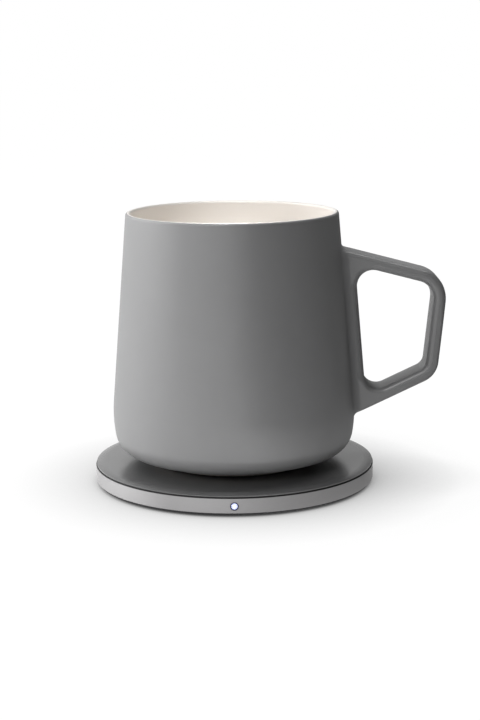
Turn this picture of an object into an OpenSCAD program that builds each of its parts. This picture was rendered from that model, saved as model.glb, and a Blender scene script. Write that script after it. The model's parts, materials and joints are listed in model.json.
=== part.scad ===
// Self-heating mug on its warming pad.
// A stoneware mug with a heating disc under its floor stands on a thin induction pad.
// Millimetres, +Z up. The origin is the centre of the pad's underside, on the table.
// The handle points along +X, the status light faces -Y and the power inlet faces +Y.

/* [Mug] */
// Height of the mug, from the plate to the rim
mug_h = 92.6; // [84:0.2:104]
// Outside diameter at the rim
rim_d = 78; // [72:0.5:84]
// Outside diameter at the widest place
belly_d = 90; // [86:0.5:98]
// Height of the widest place above the plate
belly_z = 18.8; // [16:0.2:22]
// Radius of the long curve between the wall and the belly
shoulder_r = 54; // [44:1:66]
// Radius of the curve from the belly to the underside
corner_r = 8.6; // [7:0.2:10]
// Height of the mug's underside above the plate
belly_lift = 3; // [2.4:0.1:4]
// Thickness of the wall
wall_t = 3.6; // [3.2:0.1:4.4]
// Thickness of the floor above the heating disc
floor_t = 4.7; // [3.6:0.1:6]
// Radius of the curve between the floor and the wall, inside
bowl_r = 9; // [7:0.5:11]

/* [Mug base] */
// Radius of the foot ring
foot_r = 30.5; // [29.5:0.1:32]
// Radius of the recess inside the foot ring
recess_r = 27.4; // [26:0.1:28.4]
// Taper of the foot ring, at its lower edge
foot_taper = 0.5; // [0.2:0.1:0.9]
// Height of the foot ring's edge above the plate
foot_gap = 0.4; // [0.2:0.05:0.8]
// Thickness of the silicone base pad
base_pad_t = 2; // [1.2:0.1:2.4]
// Thickness of the heating disc
disc_t = 0.6; // [0.4:0.1:1]
// Thickness of the bond between the disc and the floor
bond_t = 0.3; // [0.2:0.05:0.5]
// Clearance of the base pad in its recess
base_pad_clear = 0.2; // [0.1:0.05:0.4]
// Margin between the heating disc and its recess
disc_margin = 0.6; // [0.4:0.1:1.2]
// Chamfer round the lower edge of the base pad
base_pad_chamfer = 0.4; // [0.2:0.1:0.8]

/* [Handle] */
// Height where the top of the handle meets the wall, above the plate
handle_top_z = 79; // [74:0.5:82]
// Height where the underside of the handle meets the wall
handle_low_z = 17.6; // [15:0.2:22]
// Outer face of the grip, from the mug's axis, halfway up the handle
grip_x = 76.9; // [70:0.1:84]
// Fall of the top bar, in degrees
top_slope = 14.7; // [8:0.1:18]
// Outward lean of the grip, in degrees
grip_lean = 6.1; // [3:0.1:9]
// Rise of the lower bar, in degrees
low_slope = 25.4; // [20:0.1:30]
// Thickness of the strap
strap_t = 4.6; // [4:0.1:5.4]
// Width of the strap
strap_w = 14; // [12:0.2:17]
// Radius of the strap's long edges
strap_edge_r = 1.6; // [1:0.1:1.9]
// Thickness of the strap's back, from the wall
back_t = 4.2; // [3.8:0.1:5]
// Outer radius of the upper corner of the grip
grip_top_r = 11.2; // [9:0.2:13]
// Outer radius of the lower corner of the grip
grip_low_r = 8.8; // [8:0.2:10]
// Radius of the finger opening's upper corner, beside the mug
eye_top_r = 5.8; // [4:0.1:7]
// Radius of the finger opening's lower corner, beside the mug
eye_low_r = 5.3; // [4:0.1:6.5]
// Radius of the fillets between the handle and the wall
root_r = 2.5; // [1.8:0.1:3]

/* [Pad shell] */
// Diameter of the pad
pad_d = 104; // [102:0.5:114]
// Wall of the metal rim band
band_t = 1.6; // [1.2:0.1:2]
// Chamfer on the edges of the rim band
band_chamfer = 0.15; // [0.1:0.05:0.4]
// Thickness of the top plate
plate_t = 0.9; // [0.8:0.05:1.4]
// Distance of the top plate's edge from the band's outer face
plate_inset = 0.3; // [0.1:0.05:0.6]
// Width of the curved edge of the top plate
plate_roll_w = 3; // [2:0.1:4]
// Drop of the curved edge of the top plate
plate_roll_drop = 0.5; // [0.3:0.05:0.6]
// Thickness of the seal under the top plate
seal_t = 0.3; // [0.2:0.05:0.5]
// Distance of the seal from the band's outer face
seal_inset = 0.5; // [0.3:0.05:0.9]
// Distance of the base cover's edge from the band's outer face
base_inset = 0.6; // [0.3:0.05:0.9]
// Thickness of the base cover's floor
base_floor_t = 1.2; // [1:0.05:1.6]
// Height of the base cover's edge below the band
base_edge_h = 0.9; // [0.7:0.05:1]
// Radius of the base cover's lower edge
base_edge_r = 0.4; // [0.2:0.05:0.6]
// Height of the base cover above the table
foot_lift = 0.6; // [0.4:0.05:1]
// Depth of the recess that holds the foot pad
foot_sink = 0.4; // [0.2:0.05:0.5]
// Margin between the foot pad's recess and the base cover's edge
foot_margin = 2.6; // [2.2:0.1:3.4]
// Clearance of the foot pad in its recess
foot_clear = 0.2; // [0.1:0.05:0.4]
// Chamfer on the foot pad's lower edge
foot_chamfer = 0.3; // [0.1:0.05:0.4]

/* [Chassis and screws] */
// Wall of the chassis ring
chassis_t = 2; // [1.6:0.1:2.4]
// Clearance between the chassis and the band
chassis_clear = 0.2; // [0.1:0.05:0.3]
// Number of screws that hold the base cover
cover_screw_n = 6; // [4:2:8]
// Radius of the cover screw bosses
boss_r = 2.4; // [2.2:0.1:2.7]
// Overlap of the cover screw bosses with the chassis ring
boss_bite = 0.4; // [0.2:0.1:0.8]
// Height of the base cover's screw pads above its floor
screw_pad_h = 1; // [0.8:0.1:1.3]
// Radius of the cover screws' threads
cover_screw_r = 0.97; // [0.8:0.01:1]
// Length of the cover screws below their heads
cover_screw_l = 4.2; // [3.4:0.1:4.6]
// Radius of the cover screws' heads
cover_head_r = 1.7; // [1.5:0.05:1.8]
// Height of the cover screws' heads
cover_head_h = 0.6; // [0.5:0.05:0.7]
// Number of screws that hold the board
board_screw_n = 3; // [3:1:4]
// Radius of the board screws' threads
board_screw_r = 0.77; // [0.6:0.01:0.8]
// Length of the board screws below their heads
board_screw_l = 3.4; // [2.6:0.1:3.8]
// Radius of the board screws' heads
board_head_r = 1.4; // [1.2:0.05:1.5]
// Height of the board screws' heads
board_head_h = 0.45; // [0.35:0.05:0.5]
// Radius of the chassis lugs that carry the board
lug_r = 2.2; // [2:0.1:2.4]
// Clearance round a screw in its pilot hole
thread_clear = 0.03; // [0.02:0.01:0.06]
// Clearance round a screw in a through hole
hole_clear = 0.15; // [0.1:0.05:0.3]

/* [Coil] */
// Number of turns of the heating coil
coil_turns = 12; // [8:1:12]
// Distance between the turns of the coil
coil_pitch = 1.75; // [1.72:0.01:1.8]
// Thickness of the coil's stranded wire
wire_d = 1.3; // [1:0.05:1.3]
// Radius of the coil's first turn
coil_in_r = 9; // [8:0.25:9.5]
// Clearance between the coil and the tray's wall
coil_clear = 0.85; // [0.5:0.05:1]
// Wall of the coil tray
tray_t = 1.2; // [0.8:0.1:1.4]
// Thickness of the coil tray's floor
tray_floor_t = 0.5; // [0.4:0.05:0.8]
// Number of ferrite bars under the coil
ferrite_n = 6; // [4:1:8]
// Width of a ferrite bar
ferrite_w = 6; // [4:0.2:6.4]
// Thickness of a ferrite bar
ferrite_t = 0.8; // [0.6:0.05:1.2]
// Distance of the ferrite bars from the first and last turns
ferrite_margin = 2; // [1.4:0.1:3]
// Thickness of the shield disc
shield_t = 0.3; // [0.2:0.05:0.5]
// Clearance of the shield disc in the tray
shield_clear = 0.3; // [0.2:0.05:0.5]
// Height of the shield disc above the board
shield_gap = 0.7; // [0.5:0.05:1]
// Thickness of the insulating sheet over the coil
sheet_t = 0.3; // [0.2:0.05:0.5]
// Width of a coil terminal
terminal_w = 1; // [0.8:0.05:1.1]
// Length of a coil terminal
terminal_l = 1.4; // [1:0.1:1.6]
// Radius of the temperature sensor
sensor_r = 1.6; // [1.3:0.05:1.9]
// Thickness of the cushion under the temperature sensor
cushion_t = 0.4; // [0.3:0.05:0.6]
// Radius of the sensor's leads
sensor_lead_r = 0.25; // [0.15:0.05:0.3]
// Distance of each sensor lead from the axis
sensor_lead_x = 0.6; // [0.5:0.05:0.7]
// Clearance round what passes through a hole in the coil stack
pass_clear = 0.3; // [0.2:0.05:0.4]

/* [Board] */
// Height of the board above the base cover's floor
board_lift = 0.6; // [0.55:0.05:0.8]
// Thickness of the board
board_t = 1; // [0.8:0.05:1.4]
// Clearance between the board and the screw bosses
board_clear = 0.4; // [0.2:0.05:0.6]
// Height of the tallest parts on the board
tall_part_h = 3; // [2:0.1:3.2]
// Height of the flat chips on the board
chip_h = 0.9; // [0.6:0.05:1.2]
// Clearance between the coil tray and the parts beside it
part_clear = 0.75; // [0.5:0.05:1]
// Gap between neighbouring parts on the board
part_gap = 1; // [0.6:0.1:1.4]
// Width of the choke
choke_w = 6; // [5:0.1:6.4]
// Width of the driver chip
driver_w = 5; // [4:0.1:6]
// Width of the control chip
control_w = 4; // [3:0.1:5]
// Width of a power switch
switch_w = 3.3; // [3:0.1:3.6]
// Length of a resonant capacitor along the board's edge
film_l = 5.6; // [5:0.1:5.8]
// Width of a resonant capacitor
film_w = 5; // [4:0.1:6]
// Radius of a bulk capacitor
can_r = 2.5; // [2:0.1:3]
// Length of a resistor
resistor_l = 1.6; // [1.2:0.1:2]
// Width of a resistor
resistor_w = 0.8; // [0.6:0.05:1]
// Margin of the board's tab beside the socket
tab_margin = 4; // [3:0.1:5]
// Margin of the board round the light source
lamp_margin = 0.5; // [0.3:0.05:0.8]

/* [Power inlet] */
// Width of the socket's shell
usb_w = 8.94; // [8.9:0.01:9]
// Height of the socket's shell
usb_h = 3.2; // [3.1:0.01:3.26]
// Length of the socket's shell
usb_l = 7.4; // [6.8:0.1:8]
// Wall of the socket's shell
usb_wall = 0.25; // [0.2:0.05:0.3]
// Height of the socket's middle above the board
usb_rise = 0.65; // [0.5:0.05:0.8]
// Depth of the socket's mouth behind the band's outer face
usb_recess = 0.7; // [0.4:0.05:1]
// Clearance of the band's slot round the socket
usb_clear = 0.3; // [0.2:0.05:0.4]
// Thickness of the socket's contact tongue
tongue_t = 0.7; // [0.6:0.02:0.8]
// Width of the socket's contact tongue
tongue_w = 6.7; // [6.4:0.05:6.8]
// Clearance of the tongue's block in the shell
tongue_clear = 0.05; // [0.03:0.01:0.08]
// Width of a solder tab beside the socket
solder_tab_w = 1.3; // [1:0.05:1.6]
// Length of a solder tab
solder_tab_l = 1.2; // [0.9:0.05:1.5]

/* [Status light] */
// Radius of the light's lens
lens_r = 1.1; // [0.9:0.05:1.25]
// Outer radius of the light's bezel
bezel_r = 1.45; // [1.4:0.05:1.7]
// Distance that the bezel stands proud of the band
bezel_proud = 0.1; // [0.05:0.05:0.2]
// Clearance round the lens and the bezel
light_clear = 0.05; // [0.03:0.01:0.08]
// Length of the light pipe's tail inside the chassis ring
pipe_tail = 2.8; // [2:0.1:3.2]
// Length of the light source's body
source_l = 2.2; // [1.8:0.1:2.6]
// Width of the light source's body
source_w = 3; // [2.4:0.1:3.4]
// Height of the light source's body
source_h = 1.5; // [1.2:0.05:1.8]
// Gap between the light source and the light pipe
source_gap = 0.4; // [0.3:0.05:0.5]

/* [Hidden] */
$fn = 96;
eps = 0.01;

// Heights of the pad's layers, from the table upwards
base_z = foot_lift;
floor_z = base_z + base_floor_t;
band_z = base_z + base_edge_h;
board_z = floor_z + board_lift;
board_top = board_z + board_t;
shield_z = board_top + shield_gap;
ferrite_z = shield_z + shield_t;
tray_z = ferrite_z + ferrite_t;
coil_z = tray_z + tray_floor_t;
sheet_z = coil_z + wire_d;
plate_z = sheet_z + sheet_t;
band_top = plate_z - seal_t;
pad_h = plate_z + plate_t;

// Radii of the pad's layers, from the band inwards
pad_r = pad_d / 2;
band_in_r = pad_r - band_t;
chassis_r = band_in_r - chassis_clear;
chassis_in_r = chassis_r - chassis_t;
boss_ring_r = chassis_in_r + boss_bite - boss_r;
board_r = boss_ring_r - boss_r - board_clear;
lug_ring_r = board_r - lug_r - board_clear;
base_r = pad_r - base_inset;
foot_recess_r = base_r - foot_margin;
foot_pad_r = foot_recess_r - foot_clear;
plate_r = pad_r - plate_inset;
seal_r = pad_r - seal_inset;

// Sizes of the coil stack
coil_out_r = coil_in_r + coil_turns * coil_pitch;
tray_in_r = coil_out_r + wire_d / 2 + coil_clear;
tray_r = tray_in_r + tray_t;
shield_r = tray_in_r - shield_clear;
sensor_hole_r = sensor_r + pass_clear;
cushion_r = sensor_r + sensor_lead_r;
lead_hole_r = sensor_lead_x + sensor_lead_r + pass_clear;

// A first angle for n screws that keeps them clear of the socket and the light
function clear_start(n) = n % 2 == 1 ? 0 : 180 / n - 90;

// The board's parts stand round the coil tray, in runs that each start beside a lug
parts_r = tray_r + part_clear;
// Angle that a part of this length takes up
function part_turn(l) = 2 * atan((l + part_gap) / (2 * parts_r));
function run_start(run) =
    clear_start(board_screw_n) + run * 360 / board_screw_n + part_turn(2 * lug_r) / 2;
driver_a = run_start(0) + part_turn(driver_w) / 2;
choke_a = driver_a + (part_turn(driver_w) + part_turn(choke_w)) / 2;
can_a = choke_a + (part_turn(choke_w) + part_turn(2 * can_r)) / 2;
switch_a = run_start(1) + part_turn(switch_w) / 2;
film_a = switch_a + 3.5 * part_turn(switch_w) + part_turn(film_l) / 2;
control_a = run_start(2) + part_turn(control_w) / 2;
resistor_a = control_a + (part_turn(control_w) + part_turn(resistor_w)) / 2;

// Places of the socket and the light
usb_z = board_top + usb_rise;
usb_mouth_y = pad_r - usb_recess;
usb_back_y = usb_mouth_y - usb_l;
led_z = usb_z;
source_y = chassis_in_r - pipe_tail - source_gap;

// Heights of the mug's base, from the plate upwards
disc_z = base_pad_t;
bond_z = disc_z + disc_t;
recess_z = bond_z + bond_t;
bowl_z = recess_z + floor_t;

function unit(v) = v / norm(v);
function turn(v, a) = [v.x * cos(a) - v.y * sin(a), v.x * sin(a) + v.y * cos(a)];
function heading(a) = [cos(a), sin(a)];
// Where two lines meet, each given by a point and a heading
function meet(p, a, q, b) =
    p + heading(a) * ((q.x - p.x) * sin(b) - (q.y - p.y) * cos(b)) / sin(b - a);
// A line moved sideways to its left
function moved(line, d) = [line[0] + d * heading(line[1] + 90), line[1]];
function crossing(m, n) = meet(m[0], m[1], n[0], n[1]);

// The piece of a disc beyond its chord, on the right hand of the way from p to q
module disc_cap(c, r, p, q) {
    out = unit([q.y - p.y, p.x - q.x]) * r;
    intersection() {
        translate(c) circle(r);
        polygon([p, p + out, q + out, q]);
    }
}

// A rounded corner as its two tangent points, its centre and its radius
function corner(before, at, after, r) =
    let (u = unit(before - at), v = unit(after - at), half = acos(u * v) / 2)
    [at + u * r / tan(half), at + v * r / tan(half), at + unit(u + v) * r / sin(half), r];

function corners(pts, radii) =
    let (n = len(pts))
    [for (i = [0 : n - 1])
        radii[i] > 0 ? corner(pts[(i + n - 1) % n], pts[i], pts[(i + 1) % n], radii[i])
                     : [pts[i], pts[i], pts[i], 0]];

module ring(r_in, r_out, z0, z1) {
    translate([0, 0, z0]) difference() {
        cylinder(r = r_out, h = z1 - z0);
        translate([0, 0, -eps]) cylinder(r = r_in, h = z1 - z0 + 2 * eps);
    }
}

module disc(r, z0, z1) {
    translate([0, 0, z0]) cylinder(r = r, h = z1 - z0);
}

module around(n, r, first = 0) {
    for (i = [0 : n - 1]) rotate([0, 0, first + i * 360 / n]) translate([r, 0, 0]) children();
}

module at_cover_screws() {
    around(cover_screw_n, boss_ring_r, clear_start(cover_screw_n)) children();
}

module at_board_screws() {
    around(board_screw_n, lug_ring_r, clear_start(board_screw_n)) children();
}

// A flat box on the board, at an angle and beside the coil tray
module board_part(angle, along, across, h) {
    rotate([0, 0, angle]) translate([parts_r, -along / 2, board_top]) cube([across, along, h]);
}

// A long-hole outline, w by h
module long_hole(w, h) {
    x = (w - h) / 2;
    square([w - h, h], center = true);
    disc_cap([x, 0], h / 2, [x, -h / 2], [x, h / 2]);
    disc_cap([-x, 0], h / 2, [-x, h / 2], [-x, -h / 2]);
}

// The mug's wall leans by this angle, so that it runs from the rim into the long curve
shoulder_c = [belly_d / 2 - shoulder_r, belly_z];
rim_from_c = [rim_d / 2, mug_h] - shoulder_c;
wall_lean = atan2(rim_from_c.y, rim_from_c.x) - acos(shoulder_r / norm(rim_from_c));
wall_out = heading(wall_lean);
wall_foot = shoulder_c + shoulder_r * wall_out;
corner_c = [shoulder_c.x + sqrt(pow(shoulder_r - corner_r, 2)
            - pow(shoulder_c.y - belly_lift - corner_r, 2)), belly_lift + corner_r];
inner_r = shoulder_r - wall_t;
bowl_c = [shoulder_c.x + sqrt(pow(inner_r - bowl_r, 2)
          - pow(shoulder_c.y - bowl_z - bowl_r, 2)), bowl_z + bowl_r];
lip_r = wall_t / 2;
lip_c = [wall_foot.x - (lip_r + (mug_h - lip_r - wall_foot.y) * wall_out.y) / wall_out.x,
         mug_h - lip_r];
lip_out = lip_c + lip_r * wall_out;
lip_in = lip_c - lip_r * wall_out;

// The handle's lines in the plane of the handle, each a point and a heading.
// They run round the handle against the clock, with the handle's middle on their left.
wall_line = [wall_foot, 270 + wall_lean];
top_line = [crossing(wall_line, [[0, handle_top_z], 0]), 180 - top_slope];
grip_line = [[grip_x, (handle_top_z + handle_low_z) / 2], 90 - grip_lean];
low_line = [crossing(wall_line, [[0, handle_low_z], 0]), low_slope];
root_line = moved(wall_line, -wall_t / 2);
half_w = strap_w / 2;
arc_steps = 8;
edge_steps = 3;
side_steps = 5;

// The corners of the finger opening: low beside the mug, low at the grip, top at the grip, top beside the mug
eye = let (t = moved(top_line, strap_t), g = moved(grip_line, strap_t),
           l = moved(low_line, strap_t), b = moved(wall_line, back_t))
    corners([crossing(b, l), crossing(l, g), crossing(g, t), crossing(t, b)],
            [eye_low_r, grip_low_r - strap_t, grip_top_r - strap_t, eye_top_r]);

// A point on the arc of a corner, k steps of arc_steps along it, with the arc let out by d
function on_arc(c, k, d = 0) =
    let (from = c[0] - c[2], to = c[1] - c[2], sweep = acos(unit(from) * unit(to)))
    c[2] + turn(unit(from), sweep * k / arc_steps) * (c[3] + d);
function foot_on(p, line) = crossing([p, line[1] + 90], line);

// The wall falls away from its line by this much at the edges of the strap's flare
wall_fall = pow(half_w + root_r, 2) / rim_d;
// Distance of a point in the handle's plane from the wall
function wall_gap(p) =
    p.y > wall_foot.y ? (p - wall_foot) * wall_out : norm(p - shoulder_c) - shoulder_r;
// Height of a fillet's curve at a distance from the wall
function fillet(d) = d >= root_r ? 0 : root_r - sqrt(pow(root_r, 2) - pow(root_r - max(d, root_r / 20), 2));

// Outer points of the strap beside the mug, from its line through the fillet into the wall
function root_points(line, p_bar, p_back) =
    let (outside = line[1] > 90 ? -1 : 1, turned = heading(line[1] + 90),
         c = crossing(moved(wall_line, root_r - wall_fall), moved(line, -root_r)),
         on_strap = c + turned * root_r, on_wall = c - wall_out * root_r,
         sweep = acos(unit(on_strap - c) * unit(on_wall - c)))
    concat([foot_on(p_bar, line)],
           [for (k = [0 : 4]) c + turn(on_strap - c, outside * sweep * k / 4)],
           [on_wall - wall_out * wall_t / 4, foot_on(on_strap, root_line), foot_on(p_back, root_line)]);

// The strap's stations round the handle, each an inner and an outer point
low_root = root_points(low_line, eye[0][1], eye[0][0]);
top_root = root_points(top_line, eye[3][0], eye[3][1]);
stations = concat(
    [for (k = [0 : arc_steps]) [on_arc(eye[0], k), low_root[arc_steps - k]]],
    [for (k = [0 : arc_steps]) [on_arc(eye[1], k), on_arc(eye[1], k, strap_t)]],
    [for (k = [0 : arc_steps]) [on_arc(eye[2], k), on_arc(eye[2], k, strap_t)]],
    [for (k = [0 : arc_steps]) [on_arc(eye[3], k), top_root[k]]]);

// Half a section of the strap, as distances from its inner point and drops of its edges
function half_section(len) =
    let (r = strap_edge_r)
    concat([for (k = [0 : edge_steps]) let (a = 90 * k / edge_steps) [r - r * cos(a), r - r * sin(a)]],
           [for (k = [1 : side_steps]) [r + (len - 2 * r) * (1 - pow(1 - k / (side_steps + 1), 2)), 0]],
           [for (k = [edge_steps : -1 : 0])
               let (a = 90 * k / edge_steps) [len - r + r * cos(a), r - r * sin(a)]]);

function strap_section(inner, outer) =
    let (way = unit(outer - inner), half = half_section(norm(outer - inner)), n = len(half),
         side = [for (h = half) let (p = inner + way * h[0])
             [p.x, p.y, half_w + fillet(wall_gap(p) + wall_fall) - h[1]]])
    concat(side, [for (k = [n - 1 : -1 : 0]) [side[k].x, side[k].y, -side[k].z]]);

module handle() {
    rings = [for (st = stations) strap_section(st[0], st[1])];
    n = len(rings);
    m = len(rings[0]);
    skin = [for (i = [0 : n - 1], k = [0 : m - 1])
        let (j = (i + 1) % n, l = (k + 1) % m)
        each [[i * m + k, j * m + k, j * m + l], [i * m + k, j * m + l, i * m + l]]];
    translate([0, 0, pad_h]) rotate([90, 0, 0]) polyhedron([for (r = rings) each r], skin);
}

// Points along the long curve at a radius, from the wall down towards another curve's centre
function shoulder_points(r, towards) =
    let (low = atan2(towards.y - shoulder_c.y, towards.x - shoulder_c.x))
    [for (k = [0 : 6]) shoulder_c + r * heading(wall_lean + (low - wall_lean) * k / 6)];

module mug_body() {
    outside = shoulder_points(shoulder_r, corner_c);
    inside = shoulder_points(inner_r, bowl_c);
    belly_end = [corner_c.x, belly_lift];
    bowl_end = [bowl_c.x, bowl_z];
    color([0.50, 0.50, 0.51]) {
        translate([0, 0, pad_h]) rotate([0, 0, 90]) rotate_extrude() difference() {
            union() {
                polygon(concat(
                    [[0, bowl_z], [0, recess_z], [recess_r, recess_z], [recess_r, foot_gap],
                     [foot_r - foot_taper, foot_gap], [foot_r, belly_lift], belly_end],
                    [for (k = [6 : -1 : 0]) outside[k]], [lip_out, lip_in], inside, [bowl_end]));
                disc_cap(corner_c, corner_r, belly_end, outside[6]);
                disc_cap(lip_c, lip_r, lip_out, lip_in);
            }
            disc_cap(bowl_c, bowl_r, bowl_end, inside[6]);
        }
        handle();
    }
}

module heating_disc() {
    color([0.62, 0.63, 0.65]) disc(recess_r - disc_margin, pad_h + disc_z, pad_h + bond_z);
}

module disc_bond() {
    color([0.72, 0.70, 0.64]) disc(recess_r - disc_margin, pad_h + bond_z, pad_h + recess_z);
}

module base_pad() {
    r = recess_r - base_pad_clear;
    color([0.14, 0.14, 0.15]) translate([0, 0, pad_h]) rotate_extrude()
        polygon([[0, 0], [r - base_pad_chamfer, 0], [r, base_pad_chamfer], [r, base_pad_t],
                 [0, base_pad_t]]);
}

module top_plate() {
    roll_r = (plate_roll_w * plate_roll_w + plate_roll_drop * plate_roll_drop) / (2 * plate_roll_drop);
    flat_r = plate_r - plate_roll_w;
    edge = [plate_r, pad_h - plate_roll_drop];
    color([0.30, 0.30, 0.31]) rotate_extrude() {
        polygon([[0, plate_z], [plate_r, plate_z], edge, [flat_r, pad_h], [0, pad_h]]);
        disc_cap([flat_r, pad_h - roll_r], roll_r, edge, [flat_r, pad_h]);
    }
}

module plate_seal() {
    color([0.06, 0.06, 0.06]) ring(chassis_in_r, seal_r, band_top, plate_z);
}

module rim_band() {
    k = band_chamfer;
    color([0.66, 0.66, 0.67]) difference() {
        rotate_extrude() polygon([[band_in_r, band_z], [pad_r - k, band_z], [pad_r, band_z + k],
                                  [pad_r, band_top - k], [pad_r - k, band_top], [band_in_r, band_top]]);
        translate([0, band_in_r - band_t, usb_z]) rotate([-90, 0, 0]) linear_extrude(3 * band_t)
            long_hole(usb_w + 2 * usb_clear, usb_h + 2 * usb_clear);
        translate([0, band_t - band_in_r, led_z]) rotate([90, 0, 0])
            cylinder(r = bezel_r + light_clear, h = 3 * band_t);
    }
}

module chassis() {
    lug_z = board_top;
    color([0.16, 0.16, 0.17]) difference() {
        union() {
            ring(chassis_in_r, chassis_r, floor_z, band_top);
            at_cover_screws() disc(boss_r, floor_z + screw_pad_h, band_top);
            at_board_screws() disc(lug_r, lug_z, band_top);
            at_board_screws() translate([0, -boss_r / 2, lug_z + board_clear])
                cube([chassis_in_r + boss_bite - lug_ring_r, boss_r, band_top - lug_z - board_clear]);
        }
        at_cover_screws()
            disc(cover_screw_r + thread_clear, floor_z, cover_seat_z + cover_screw_l + hole_clear);
        at_board_screws()
            disc(board_screw_r + thread_clear, board_z, board_z + board_screw_l + hole_clear);
        translate([0, usb_back_y, usb_z]) rotate([-90, 0, 0]) linear_extrude(usb_l + band_t)
            long_hole(usb_w + 2 * usb_clear, usb_h + 2 * usb_clear);
        translate([0, -chassis_in_r + chassis_t, led_z]) rotate([90, 0, 0])
            cylinder(r = lens_r + light_clear, h = 3 * chassis_t);
    }
}

// Height of the seat under a cover screw's head, and the radius of the pad round the screw
cover_seat_z = base_z + foot_sink + cover_head_h + hole_clear / 2;
screw_pad_r = boss_r - boss_bite - chassis_clear;

module base_cover() {
    r = base_edge_r;
    color([0.10, 0.10, 0.10]) difference() {
        union() {
            rotate_extrude() {
                polygon([[0, base_z + foot_sink], [foot_recess_r, base_z + foot_sink],
                         [foot_recess_r, base_z], [base_r - r, base_z], [base_r, base_z + r],
                         [base_r, band_z], [chassis_r, band_z], [chassis_r, floor_z], [0, floor_z]]);
                disc_cap([base_r - r, base_z + r], r, [base_r - r, base_z], [base_r, base_z + r]);
            }
            at_cover_screws() disc(screw_pad_r, floor_z - eps, floor_z + screw_pad_h);
            around(4, tray_r, 45) disc(boss_r, floor_z - eps, board_z);
        }
        at_cover_screws() {
            disc(cover_head_r + hole_clear, base_z, cover_seat_z);
            disc(cover_screw_r + hole_clear, base_z, floor_z + 2 * screw_pad_h);
        }
    }
}

module foot_pad() {
    k = foot_chamfer;
    color([0.13, 0.13, 0.13]) rotate_extrude()
        polygon([[0, 0], [foot_pad_r - k, 0], [foot_pad_r, k], [foot_pad_r, base_z + foot_sink],
                 [0, base_z + foot_sink]]);
}

// A screw with its head downwards and a cross recess; z is the seat under its head
module screw(r, l, head_r, head_h, z) {
    difference() {
        union() {
            disc(r, z - eps, z + l);
            disc(head_r, z - head_h, z);
        }
        for (a = [0, 90]) rotate([0, 0, a]) translate([-head_r * 0.6, -head_r * 0.13, z - 1.5 * head_h])
            cube([head_r * 1.2, head_r * 0.26, head_h]);
    }
}

module cover_screws() {
    color([0.45, 0.45, 0.46]) at_cover_screws()
        screw(cover_screw_r, cover_screw_l, cover_head_r, cover_head_h, cover_seat_z);
}

module board_screws() {
    color([0.45, 0.45, 0.46]) at_board_screws()
        screw(board_screw_r, board_screw_l, board_head_r, board_head_h, board_z);
}

module main_board() {
    tab_x = usb_w / 2 + tab_margin;
    tab_y = sqrt(pow(chassis_in_r - board_clear, 2) - pow(tab_x, 2));
    lamp_x = source_w / 2 + lamp_margin;
    notch_x = usb_w / 2 + usb_clear;
    color([0.09, 0.30, 0.16]) translate([0, 0, board_z]) linear_extrude(board_t) difference() {
        union() {
            circle(board_r);
            translate([-tab_x, 0]) square([2 * tab_x, tab_y]);
            translate([-lamp_x, -source_y]) square([2 * lamp_x, source_y]);
        }
        translate([-notch_x, usb_back_y - usb_clear]) square([2 * notch_x, usb_l]);
        at_board_screws() circle(board_screw_r + hole_clear);
    }
}

module coil_tray() {
    hole = [terminal_w + 2 * pass_clear, terminal_l + 2 * pass_clear];
    color([0.20, 0.20, 0.21]) difference() {
        union() {
            ring(tray_in_r, tray_r, board_top, sheet_z);
            disc(tray_in_r + tray_t / 2, tray_z, coil_z);
        }
        disc(lead_hole_r, tray_z - 1, coil_z + 1);
        for (t = terminal_places()) translate([t.x - hole.x / 2, t.y - hole.y / 2, tray_z - 1])
            cube([hole.x, hole.y, tray_floor_t + 2]);
    }
}

// Places of the coil's two terminals, past its straight ends
function terminal_places() =
    [[coil_in_r, -wire_d - terminal_l / 2], [coil_out_r, wire_d + terminal_l / 2]];

// The coil's middle line: a straight end, the flat spiral and a straight end
coil_step = 15;
coil_steps = coil_turns * 360 / coil_step;
coil_path = concat(
    [[coil_in_r, -wire_d], [coil_in_r, -wire_d / 2]],
    [for (i = [0 : coil_steps])
        (coil_in_r + coil_pitch * i * coil_step / 360) * heading(i * coil_step)],
    [[coil_out_r, wire_d / 2], [coil_out_r, wire_d]]);
coil_last = len(coil_path) - 1;
coil_gap = min([for (i = [0 : coil_last - 12], j = [i + 12 : min(i + 36, coil_last)])
    norm(coil_path[i] - coil_path[j])]) - wire_d;
echo("least gap between the coil's turns", coil_gap);

module heating_coil() {
    sides = 6;
    ways = [for (i = [0 : coil_last])
        unit(coil_path[min(i + 1, coil_last)] - coil_path[max(i - 1, 0)])];
    points = [for (i = [0 : coil_last], k = [0 : sides - 1])
        let (u = cos(60 * k) * wire_d / 2, w = sin(60 * k) * wire_d / 2)
        [coil_path[i].x + u * ways[i].y, coil_path[i].y - u * ways[i].x, coil_z + wire_d / 2 + w]];
    skin = [for (i = [0 : coil_last - 1], k = [0 : sides - 1])
        let (a = i * sides + k, b = i * sides + (k + 1) % sides)
        each [[a, b, b + sides], [a, b + sides, a + sides]]];
    start_cap = [for (k = [1 : sides - 2]) [0, k + 1, k]];
    end_cap = [for (k = [1 : sides - 2]) [coil_last * sides, coil_last * sides + k, coil_last * sides + k + 1]];
    color([0.72, 0.45, 0.20]) polyhedron(points, concat(skin, start_cap, end_cap));
}

module coil_terminals() {
    color([0.75, 0.73, 0.68]) for (t = terminal_places())
        translate([t.x - terminal_w / 2, t.y - terminal_l / 2, board_top])
        cube([terminal_w, terminal_l, sheet_z - board_top - pass_clear / 2]);
}

module ferrite_bars() {
    bar_in = coil_in_r + ferrite_margin;
    color([0.22, 0.22, 0.23]) around(ferrite_n, bar_in, 180 / ferrite_n)
        translate([0, -ferrite_w / 2, ferrite_z])
        cube([coil_out_r - ferrite_margin - bar_in, ferrite_w, ferrite_t]);
}

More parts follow.
